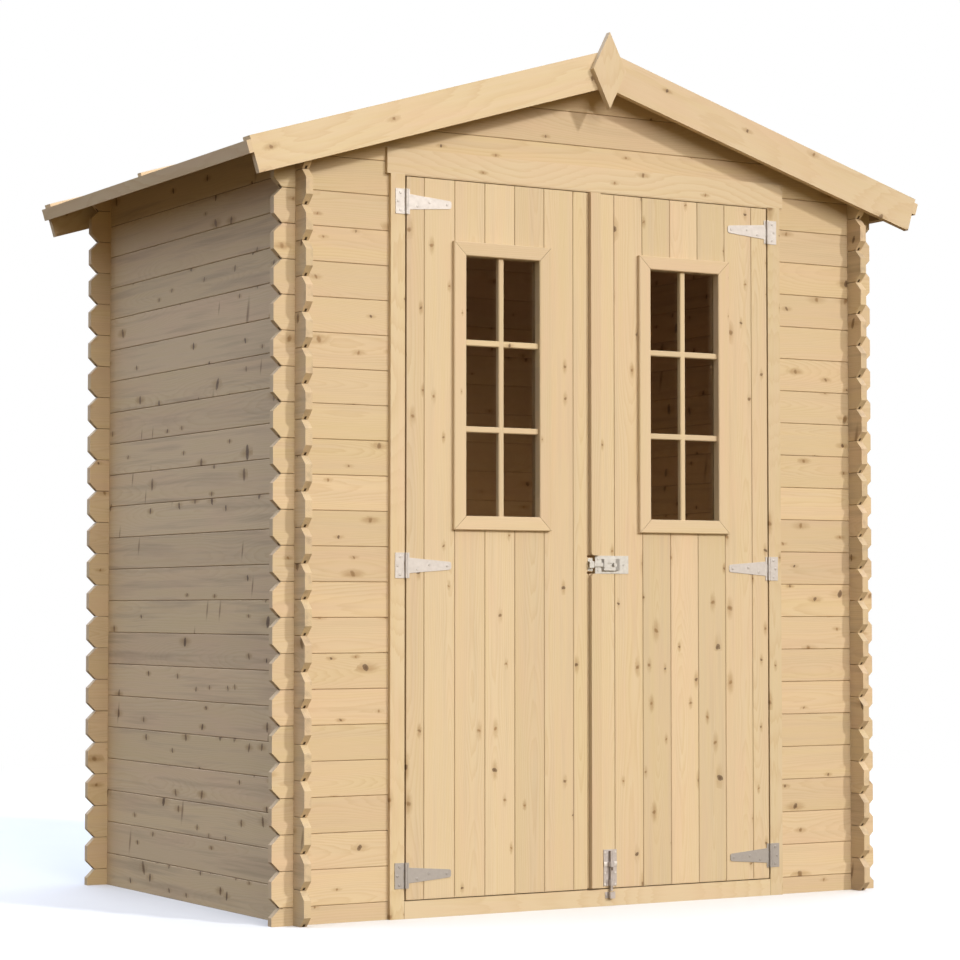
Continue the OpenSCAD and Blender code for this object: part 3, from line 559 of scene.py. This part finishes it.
@dataclass
class Dressing:
    """Gives every carried-over solid of the shed its finish."""

    wall_pitch: float = 87 * MM
    # Width of the painted shade line in the joints of the logs and the door boards
    joint: float = 0.8 * MM
    # Size of the painted shade at the mouth of the slots on the logs' cut ends
    mouth: float = 5.8 * MM
    doorway: float = 1112 * MM

    def finishes(self) -> dict[str, tuple[object, tuple[str, ...]]]:
        """List each finish with the solids that get it.

        Returns:
            For each finish's name, the finish and the names of its solids.
        """
        middle = WALL / 2
        log_light = {"early": "#CEB997", "late": "#B49367"}
        roof = {"origin": (0.0, 0.0, RIDGE_Z), "turn": -SLOPE, "fold": (True, False, False)}
        finishes = [
            (PlanedSpruce("spruce_front_logs", Axis.X, Axis.Z, self.wall_pitch, 0.5, (False, True, False),
                          (0.0, WALL_Y - middle, 0.0), joint_shade_width=self.joint, mouth_shade_size=self.mouth, seed=1.0,
                          knots=0.42, smudge=0.05, **log_light),
             ("back_wall", "front_wall_left", "front_wall_right", "front_bottom_log", "front_gable")),
            (PlanedSpruce("spruce_side_logs", Axis.Y, Axis.Z, self.wall_pitch, 0.0, (True, False, False),
                          (WALL_X - middle, 0.0, 0.0), joint_shade_width=self.joint, mouth_shade_size=self.mouth, seed=2.0,
                          knots=0.48, dead_knots=0.45, knot_size=1.1, knot_rise=1.5, spikes=0.34,
                          smudge=0.20, **log_light),
             ("left_wall", "right_wall")),
            (PlanedSpruce("spruce_roof_boards", Axis.X, Axis.Y, ROOF_PITCH, 0.0, joint_shade_width=self.joint,
                          seed=3.0, knots=0.34, early="#C9B695", **roof),
             ("left_roof", "right_roof")),
            (PlanedSpruce("spruce_barge_boards", Axis.X, Axis.Z, seed=4.0, knots=0.36, knot_size=1.2, **roof),
             ("front_left_barge", "front_right_barge", "back_left_barge", "back_right_barge")),
            (PlanedSpruce("spruce_laths", Axis.X, Axis.Y, 0.2, 0.5, seed=5.0, knots=0.2, **roof),
             ("left_laths", "right_laths")),
            (PlanedSpruce("spruce_eave_boards", Axis.Y, Axis.Z, fold=(True, False, False), seed=6.0),
             ("left_fascia", "right_fascia")),
            (PlanedSpruce("spruce_beams", Axis.Y, Axis.X, 0.3, 0.5, seed=7.0, knots=0.4),
             ("ridge_beam", "purlins")),
            (PlanedSpruce("spruce_diamonds", Axis.Z, Axis.X, fold=(False, True, False), seed=8.0, knots=0.1),
             ("front_diamond", "back_diamond")),
            (PlanedSpruce("spruce_posts", Axis.Z, Axis.X, 0.2, 0.5, seed=9.0, knots=0.4),
             ("left_post", "right_post")),
            (PlanedSpruce("spruce_head_board", Axis.X, Axis.Z, 0.5, 0.5, seed=10.0, knots=0.5), ("head_board",)),
            (PlanedSpruce("spruce_threshold", Axis.X, Axis.Z, 0.5, 0.5, half_length=self.doorway / 2, seed=10.0,
                          knots=0.5),
             ("threshold",)),
            (PlanedSpruce("spruce_door_boards", Axis.Z, Axis.X, DOOR_PITCH,
                          -DOOR_FIRST_JOINT / DOOR_PITCH, (True, False, False),
                          (0.0, DOOR_MIDDLE_Y, 0.0), joint_shade_width=self.joint, seed=11.0, knots=0.40,
                          smudge=0.06),
             ("left_door", "right_door", "keeper_block")),
            *((PlanedSpruce(f"spruce_{word}_window_frame", Axis.X, Axis.Z, origin=(middle_x, FACE_Y, WINDOW_Z),
                            cut=Cut.WINDOW, seed=seed, knots=0.30, knot_size=0.6),
               (f"{word}_window_frame",)) for word, middle_x, seed in (("left", -WINDOW_X, 12.0),
                                                                       ("right", WINDOW_X, 13.0))),
            (PlanedSpruce("spruce_ledges", Axis.X, Axis.Z, 0.3, 0.5, (True, False, False), seed=14.0),
             ("left_ledges", "right_ledges")),
            (PlanedSpruce("spruce_cover_strip", Axis.Z, Axis.X, 0.2, 0.5, origin=(0.0, FACE_Y, 0.0), seed=15.0,
                          knots=0.2),
             ("cover_strip",)),
            (ZincPlatedSteel("zinc_plated_steel", lower_grey_height=0.3),
             ("left_hinge_plates", "right_hinge_plates", "left_hinge_straps", "right_hinge_straps")),
            (ZincPlatedSteel("zinc_plated_steel_latch", colour="#CAC8C3", cloud="#C0BDB8"),
             ("latch_case", "latch_slide", "latch_keeper")),
            (ZincPlatedSteel("zinc_plated_steel_bolt", colour="#C4BDBA", cloud="#B8B1AE"),
             ("bolt_plate", "bolt_rod", "bolt_keeper")),
            (ZincPlatedSteel("zinc_plated_steel_screws", colour="#DCD8D4", cloud="#D0CCC8"), ()),
            (WindowGlass("clear_window_glass"), ("left_glass", "right_glass")),
        ]
        return {finish.name: (finish, solids) for finish, solids in finishes}

    def dress(self, nodes: dict[str, bpy.types.Object]) -> dict[str, bpy.types.Material]:
        """Assign each finish to its solids.

        Args:
            nodes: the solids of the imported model, by name.

        Returns:
            The materials made, by name.
        """
        made = {}
        for name, (finish, solids) in self.finishes().items():
            made[name] = finish.build()
            for solid in solids:
                slots = nodes[solid].data.materials
                slots.clear()
                slots.append(made[name])
            log.info("%s on %s", name, ", ".join(solids) or "screws")
        return made


def settle() -> None:
    """Write the active object's place and size into its mesh."""
    bpy.ops.object.transform_apply(location=True, rotation=True, scale=True)


def activate(piece: bpy.types.Object) -> None:
    """Select one object alone and make it the active one."""
    deselect()
    piece.select_set(True)
    bpy.context.view_layer.objects.active = piece


def deselect() -> None:
    """Leave edit mode and deselect everything."""
    if bpy.context.object and bpy.context.object.mode != "OBJECT":
        bpy.ops.object.mode_set(mode="OBJECT")
    bpy.ops.object.select_all(action="DESELECT")


def choose(piece: bpy.types.Object, test: Callable[[bpy.types.MeshPolygon], bool]) -> None:
    """Select faces of a piece and go to edit mode.

    Args:
        piece: the object, in object mode.
        test: says of each face whether it is wanted.
    """
    bpy.ops.object.mode_set(mode="OBJECT")
    mesh = piece.data
    for part in (mesh.vertices, mesh.edges, mesh.polygons):
        part.foreach_set("select", [False] * len(part))
    for face in mesh.polygons:
        face.select = test(face)
    bpy.ops.object.mode_set(mode="EDIT")
    bpy.ops.mesh.select_mode(type="FACE")


class Recess(Enum):
    """What is sunk in the head of a fixing."""

    CROSS = "cross"
    NONE = "none"


@dataclass
class Fixings:
    """A group of equal screws or nails that sit on one body, modelled once and copied."""

    name: str
    body: str
    places: Sequence[Matrix]
    radius: float = 3.6 * MM
    height: float = 1.0 * MM
    sides: int = 24
    recess: Recess = Recess.CROSS
    cross: float = 0.6 * MM
    crown: float = 0.55 * MM

    def head(self) -> bpy.types.Object:
        """Model one head at the origin, its underside just below z = 0 and its crown along +Z.

        Returns:
            The head.
        """
        deselect()
        bpy.ops.mesh.primitive_cylinder_add(vertices=self.sides, radius=self.radius, depth=self.height + 2 * SINK,
                                            location=(0, 0, self.height / 2 - SINK))
        piece = bpy.context.object
        settle()
        choose(piece, lambda face: face.normal.z > 0.9)
        bpy.ops.mesh.bevel(offset=self.crown, segments=3, profile=0.5, affect="EDGES")
        bpy.ops.mesh.select_all(action="SELECT")
        bpy.ops.mesh.normals_make_consistent(inside=False)
        bpy.ops.object.mode_set(mode="OBJECT")
        if self.recess is Recess.CROSS:
            self.cut_cross(piece)
        activate(piece)
        bpy.ops.object.shade_smooth_by_angle(angle=math.radians(40))
        return piece

    def cut_cross(self, piece: bpy.types.Object) -> None:
        """Sink a cross for the screwdriver into a head.

        Args:
            piece: the head.
        """
        arms = []
        span = 1.1 * self.radius
        for wide, long in ((self.cross, span), (span, self.cross)):
            deselect()
            bpy.ops.mesh.primitive_cube_add(size=1, location=(0, 0, self.height))
            arm = bpy.context.object
            arm.scale = (wide, long, self.cross)
            settle()
            arms.append(arm)
            activate(piece)
            cutter = piece.modifiers.new("cross", "BOOLEAN")
            cutter.object = arm
            cutter.operation = "DIFFERENCE"
            cutter.solver = "EXACT"
            bpy.ops.object.modifier_apply(modifier=cutter.name)
        for arm in arms:
            bpy.data.objects.remove(arm, do_unlink=True)

    def build(self, material: bpy.types.Material) -> bpy.types.Object:
        """Copy the head to every place and join the copies.

        Args:
            material: the fixing's finish.

        Returns:
            The piece, riding on its body.
        """
        head = self.head()
        copies = []
        for place in self.places:
            copy = head.copy()
            copy.data = head.data.copy()
            copy.data.transform(place)
            bpy.context.scene.collection.objects.link(copy)
            copies.append(copy)
        bpy.data.objects.remove(head, do_unlink=True)
        return set_in_place(copies, self.name, self.body, material)


def facing(points: Iterable[tuple[float, float]], y: float, side: int = -1, spin: float = 0.5,
           first: int = 1) -> list[Matrix]:
    """Places on an upright face, turned so that the crosses don't line up.

    Args:
        points: X and Z of each place.
        y: the face.
        side: -1 where it looks to -Y, and 1 where it looks to +Y.
        spin: how much the turn grows from one fixing to the next, radians.
        first: the number of the first fixing.

    Returns:
        One matrix for each place.
    """
    lay = Matrix.Rotation(math.radians(-90 * side), 4, "X")
    return [Matrix.Translation((x, y, z)) @ lay @ Matrix.Rotation(spin * (i + first) ** 2, 4, "Z")
            for i, (x, z) in enumerate(points)]


def rounded_bar(low: Vector, high: Vector, edge: float) -> bpy.types.Object:
    """Model a bar with rounded front edges.

    Args:
        low: its lowest corner.
        high: its highest corner.
        edge: radius of the edges that look to -Y.

    Returns:
        The bar.
    """
    deselect()
    bpy.ops.mesh.primitive_cube_add(size=1, location=(low + high) / 2, scale=high - low)
    bar = bpy.context.object
    settle()
    choose(bar, lambda face: face.normal.y < -0.9)
    bpy.ops.mesh.bevel(offset=edge, segments=3, profile=0.5, affect="EDGES")
    bpy.ops.object.mode_set(mode="OBJECT")
    bpy.ops.object.shade_smooth_by_angle(angle=math.radians(40))
    return bar


def set_in_place(parts: Sequence[bpy.types.Object], name: str, body: str,
                 material: bpy.types.Material) -> bpy.types.Object:
    """Join parts to one piece, dress it and set it on its body.

    Args:
        parts: the parts.
        name: the piece's name.
        body: the body it rides on.
        material: its finish.

    Returns:
        The piece.
    """
    deselect()
    for part in parts:
        part.select_set(True)
    bpy.context.view_layer.objects.active = parts[0]
    if len(parts) > 1:
        bpy.ops.object.join()
    piece = bpy.context.object
    piece.name = piece.data.name = name
    piece.data.materials.clear()
    piece.data.materials.append(material)
    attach(piece, body)
    log.info("%s on %s", name, body)
    return piece


@dataclass
class Hardware:
    """Screws of the hinges, the latch and the barrel bolt, and the flanges of the bolt's upper guide."""

    strap_screws: tuple[tuple[float, float], ...] = ((521 * MM, -9 * MM), (487 * MM, 2 * MM), (436 * MM, 0.0))
    plate_screws: tuple[tuple[float, float], ...] = ((570 * MM, 22 * MM), (570 * MM, -22 * MM), (576 * MM, 0.0))
    latch_screws: tuple[tuple[float, float], ...] = ((90 * MM, 874.5 * MM), (11 * MM, 889 * MM), (11 * MM, 860 * MM))
    keeper_screws: tuple[tuple[float, float], ...] = ((-13 * MM, 887.3 * MM), (-13 * MM, 861.7 * MM))
    bolt_screws: tuple[tuple[float, float], ...] = (
        (30.6 * MM, 55 * MM), (61.4 * MM, 55 * MM), (30.6 * MM, 84 * MM), (61.4 * MM, 84 * MM),
        (30.6 * MM, 137 * MM), (61.4 * MM, 137 * MM))
    bolt_keeper_screws: tuple[tuple[float, float], ...] = ((34.2 * MM, 28 * MM), (57.8 * MM, 28 * MM))
    flanges: tuple[tuple[float, float], ...] = ((26.3 * MM, 36.5 * MM), (55.5 * MM, 65.7 * MM))
    flange_low: float = 101.2 * MM
    flange_high: float = 112.8 * MM
    flange_front: float = -602.3 * MM
    flange_edge: float = 0.4 * MM

    def build(self, zinc: bpy.types.Material, latch: bpy.types.Material, bright: bpy.types.Material) -> None:
        """Set all the screws, and the flanges of the bolt's upper guide.

        Args:
            zinc: the finish of the hinges' screws.
            latch: the finish of the latch's screws.
            bright: the finish of the bolt's screws and flanges.
        """
        face = FACE_Y - SHEET
        for side, word in ((-1, "left"), (1, "right")):
            straps = [(side * x, z + dz) for z in HINGE_HEIGHTS for x, dz in self.strap_screws]
            plates = [(side * x, z + dz) for z in HINGE_HEIGHTS for x, dz in self.plate_screws]
            Fixings(f"{word}_strap_screws", f"{word}_leaf", facing(straps, face, spin=0.5 * side)).build(zinc)
            Fixings(f"{word}_plate_screws", "shed", facing(plates, face, spin=0.4 * side)).build(zinc)
        plate = {"radius": 3.1 * MM}
        small = {"radius": 2.6 * MM, "height": 0.9 * MM, "crown": 0.5 * MM}
        for name, body, points, size, finish in (
                ("latch_screws", "right_leaf", self.latch_screws, plate, latch),
                ("keeper_screws", "left_leaf", self.keeper_screws, small, latch),
                ("bolt_screws", "right_leaf", self.bolt_screws, plate, bright),
                ("bolt_keeper_screws", "shed", self.bolt_keeper_screws, small, bright)):
            Fixings(name, body, facing(points, face), **size).build(finish)
        flanges = [rounded_bar(Vector((left, self.flange_front, self.flange_low)),
                               Vector((right, face - self.flange_edge, self.flange_high)), self.flange_edge)
                   for left, right in self.flanges]
        set_in_place(flanges, "bolt_guide_flanges", "right_leaf", bright)


@dataclass
class DoorBeads:
    """Thin spruce beads that narrow the gaps over, under and between the doors to a fine line."""

    doorway: float = 1111 * MM
    head: float = 1840 * MM
    foot: float = 48 * MM
    height: float = 2.6 * MM
    front: float = -597 * MM
    depth: float = 9.5 * MM
    foot_runs: tuple[tuple[float, float], ...] = ((-550.8 * MM, -22.2 * MM), (-14.8 * MM, 550.8 * MM))
    foot_front: float = -597.6 * MM
    foot_depth: float = 15.2 * MM
    strip_edge: float = -15 * MM
    meeting: float = 4.4 * MM
    meeting_front: float = -595 * MM
    meeting_depth: float = 12 * MM
    meeting_runs: tuple[tuple[float, float], ...] = ((48.3 * MM, 850.7 * MM), (898.3 * MM, 1834.7 * MM))
    round_edge: float = 0.8 * MM

    def build(self, boards: bpy.types.Material, head_wood: bpy.types.Material) -> None:
        """Set the beads.

        Args:
            boards: the finish of the door boards.
            head_wood: the finish of the head board.
        """
        side = self.doorway / 2
        over = rounded_bar(Vector((-side, self.front, self.head - self.height)),
                           Vector((side, self.front + self.depth, self.head + SINK)), self.round_edge)
        set_in_place([over], "head_bead", "shed", head_wood)
        for word, (left, right) in zip(("left", "right"), self.foot_runs):
            under = rounded_bar(Vector((left, self.foot_front, self.foot - self.height)),
                                Vector((right, self.foot_front + self.foot_depth, self.foot + SINK)), self.round_edge)
            set_in_place([under], f"{word}_foot_bead", f"{word}_leaf", boards)
        edge, rear = self.strip_edge, self.meeting_front + self.meeting_depth
        runs = [rounded_bar(Vector((edge - self.meeting, self.meeting_front, low)), Vector((edge + SINK, rear, high)),
                            self.round_edge) for low, high in self.meeting_runs]
        set_in_place(runs, "meeting_bead", "right_leaf", boards)


@dataclass
class RoofNails:
    """Flat nail heads that hold the roof boards to the ridge beam, the half-way beam and the side walls."""

    lines: tuple[float, ...] = (30 * MM, 446 * MM, 882 * MM)
    first: int = -7
    last: int = 6
    spread: float = 24 * MM
    board: float = 12 * MM

    def build(self, steel: bpy.types.Material) -> None:
        """Set the nails of both slopes.

        Args:
            steel: the finish of the nails.
        """
        for side, word in ((-1, "left"), (1, "right")):
            along = Vector((side * math.cos(SLOPE), 0, -math.sin(SLOPE)))
            up = Vector((side * math.sin(SLOPE), 0, math.cos(SLOPE)))
            lean = Matrix.Rotation(side * SLOPE, 4, "Y")
            places = []
            for k in range(self.first, self.last + 1):
                for step in (-self.spread, self.spread):
                    for line in self.lines:
                        spot = Vector((0, (k + 0.5) * ROOF_PITCH + step, RIDGE_Z)) + along * line + up * self.board
                        places.append(Matrix.Translation(spot) @ lean)
            Fixings(f"{word}_roof_nails", "shed", places, radius=2.8 * MM, height=0.5 * MM, sides=12,
                    recess=Recess.NONE, crown=0.2 * MM).build(steel)


@dataclass
class LedgeScrews:
    """Screws that hold the boards of a door to the ledges behind them."""

    face: float = -564 * MM
    last_board: float = 516 * MM
    rise: float = 22 * MM
    heights: tuple[float, ...] = (106 * MM, 868 * MM, 1775 * MM)
    boards: int = 6

    def build(self, zinc: bpy.types.Material) -> None:
        """Set the screws of both doors.

        Args:
            zinc: the finish of the screws.
        """
        for side, word in ((-1, "left"), (1, "right")):
            points = []
            for z in self.heights:
                for k in range(self.boards):
                    x = min(DOOR_FIRST_JOINT + (k + 0.5) * DOOR_PITCH, self.last_board)
                    points.append((side * x, z + (self.rise if k % 2 else -self.rise)))
            Fixings(f"{word}_ledge_screws", f"{word}_leaf", facing(points, self.face, 1, 0.7, 0)).build(zinc)


@dataclass
class Studio:
    """Plain pale floor that fades into a white surround, a key light in two parts, a fill and a dim light indoors.

    The fill is a dome: cool from above and beside, warm from the ground, most so in front, and low at the horizon.
    """

    floor_radius: float = 16.0
    floor_tones: tuple[str, str] = ("#F2F4F4", "#F6F8F8")
    key_strength: float = 1.56
    key_angle: float = math.radians(4.5)
    key_way: tuple[float, float, float] = (-0.435, 1.0, -0.532)
    wide_strength: float = 1.84
    wide_angle: float = math.radians(30)
    wide_way: tuple[float, float, float] = (0.06, 1.0, -0.31)
    key_colour: str = "#FFFBF6"
    fill_strength: float = 1.8
    zenith: tuple[str, str] = ("#DEE8FF", "#8C8271")
    horizon: tuple[str, str] = ("#BEC4CF", "#38291D")
    ground: tuple[str, str] = ("#4A423B", "#7C6947")
    room_power: float = 2.3
    room_size: tuple[float, float] = (0.8, 0.5)
    room_place: tuple[float, float, float] = (-250 * MM, -330 * MM, 400 * MM)
    room_way: tuple[float, float, float] = (0.65, 1.0, -0.1)
    room_colour: str = "#FFCDB0"

    def floor(self) -> bpy.types.Object:
        """Make the floor, which shows light and shadow but doesn't brighten the shed from below.

        Returns:
            The floor.
        """
        deselect()
        bpy.ops.mesh.primitive_circle_add(vertices=96, radius=self.floor_radius, fill_type="NGON",
                                          location=(0, 0, -0.2 * MM))
        floor = bpy.context.object
        settle()
        floor.name = "studio_floor"
        material, tree, output = new_material("matt_white_floor")
        node = partial(add, tree)
        place = node("TexCoord").outputs["Object"]
        far = node("VectorMath:LENGTH", (place,)).outputs["Value"]
        fade = node("MapRange", (far, 2.2, 6.0, 0.0, 1.0), interpolation_type="SMOOTHSTEP")
        grain = node("TexNoise", (place, 3.0, 2.0))
        tone = node("Mix", (grain, *map(linear, self.floor_tones)), data_type="RGBA")
        matt = node("BsdfDiffuse", (tone,))
        glow = node("Emission", ((1, 1, 1, 1), 1.0))
        mix = node("MixShader", (fade, matt, glow))
        tree.links.new(mix.outputs[0], output.inputs["Surface"])
        floor.data.materials.append(material)
        floor.visible_diffuse = floor.visible_shadow = floor.visible_glossy = False
        return floor

    def lamp(self, name: str, kind: str, energy: float, colour: str) -> bpy.types.Object:
        """Add a lamp.

        Args:
            name: the lamp's name.
            kind: Blender's word for the kind of lamp.
            energy: its strength.
            colour: its colour as a hex code.

        Returns:
            The lamp.
        """
        light = bpy.data.lights.new(name, kind)
        light.energy = energy
        light.color = linear(colour)[:3]
        lamp = bpy.data.objects.new(name, light)
        bpy.context.scene.collection.objects.link(lamp)
        return lamp

    def lights(self) -> None:
        """Add the crisp and the wide part of the key light, and the dim light inside the room."""
        for name, strength, angle, way in (("soft_key", self.key_strength, self.key_angle, self.key_way),
                                           ("wide_key", self.wide_strength, self.wide_angle, self.wide_way)):
            key = self.lamp(name, "SUN", strength, self.key_colour)
            key.data.angle = angle
            key.rotation_euler = Vector(way).to_track_quat("-Z", "Y").to_euler()
        room = self.lamp("room_light", "AREA", self.room_power, self.room_colour)
        room.data.shape = "RECTANGLE"
        room.data.size, room.data.size_y = self.room_size
        room.location = self.room_place
        room.rotation_euler = Vector(self.room_way).to_track_quat("-Z", "Y").to_euler()
        room.visible_camera = room.visible_glossy = room.visible_transmission = False

    def dome(self) -> None:
        """Make the fill, while the camera sees a plain white surround."""
        world = bpy.data.worlds.new("studio_fill")
        bpy.context.scene.world = world
        world.use_nodes = True
        tree = world.node_tree
        tree.nodes.clear()
        node = partial(add, tree)
        way = node("SeparateXYZ", (node("TexCoord").outputs["Generated"],))
        front = node("MapRange", (way.outputs[1], 0.2, -0.8, 0.0, 1.0), interpolation_type="SMOOTHSTEP")
        above = node("Math:MULTIPLY_ADD", (front, -0.12, way.outputs[2]))
        high = node("MapRange", (above, 0.03, 0.45, 0.0, 1.0), interpolation_type="SMOOTHSTEP")
        level = node("MapRange", (way.outputs[2], 0.0, 0.11, 0.0, 1.0), interpolation_type="SMOOTHSTEP")
        rim = node("Mix", (front, *map(linear, self.horizon)), data_type="RGBA")
        top = node("Mix", (front, *map(linear, self.zenith)), data_type="RGBA")
        sky = node("Mix", (high, rim, top), data_type="RGBA")
        soil = node("Mix", (front, *map(linear, self.ground)), data_type="RGBA")
        colour = node("Mix", (level, soil, sky), data_type="RGBA")
        fill = node("Background", (colour, self.fill_strength))
        white = node("Background", ((1, 1, 1, 1), 1.0))
        mix = node("MixShader", (node("LightPath").outputs["Is Camera Ray"], fill, white))
        tree.links.new(mix.outputs[0], node("OutputWorld").inputs["Surface"])

    def build(self) -> None:
        """Make floor and lights, and show colours as they are."""
        self.floor()
        self.lights()
        self.dome()
        bpy.context.scene.view_settings.view_transform = "Standard"
        log.info("studio: pale floor, soft key light, domed fill, dim room light")


@dataclass
class PhotoCamera:
    """Camera at the viewing angle of the photograph, fitted to the straight lines of the shed."""

    place: tuple[float, float, float] = (-3.818, -6.528, 0.760)
    turn: float = math.radians(30.39)
    pitch: float = math.radians(2.70)
    lens: float = 102.71
    sensor: float = 36.0

    def build(self) -> None:
        """Add the camera and make it the scene's."""
        data = bpy.data.cameras.new("photo_camera")
        data.lens = self.lens
        data.sensor_width = self.sensor
        data.clip_end = 200.0
        camera = bpy.data.objects.new("photo_camera", data)
        camera.location = self.place
        way = Vector((math.sin(self.turn) * math.cos(self.pitch), math.cos(self.turn) * math.cos(self.pitch),
                      math.sin(self.pitch)))
        camera.rotation_euler = way.to_track_quat("-Z", "Y").to_euler()
        bpy.context.scene.collection.objects.link(camera)
        bpy.context.scene.camera = camera
        log.info("camera: %.0f mm lens, %.1f degrees from the front", self.lens, math.degrees(self.turn))


def main() -> None:
    """Build the scene in order."""
    PhotoCamera().build()
    materials = Dressing().dress(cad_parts)
    zinc = materials["zinc_plated_steel"]
    Hardware().build(zinc, materials["zinc_plated_steel_latch"], materials["zinc_plated_steel_screws"])
    DoorBeads().build(materials["spruce_door_boards"], materials["spruce_head_board"])
    LedgeScrews().build(zinc)
    RoofNails().build(zinc)
    Studio().build()


if __name__ == "__main__":
    main()
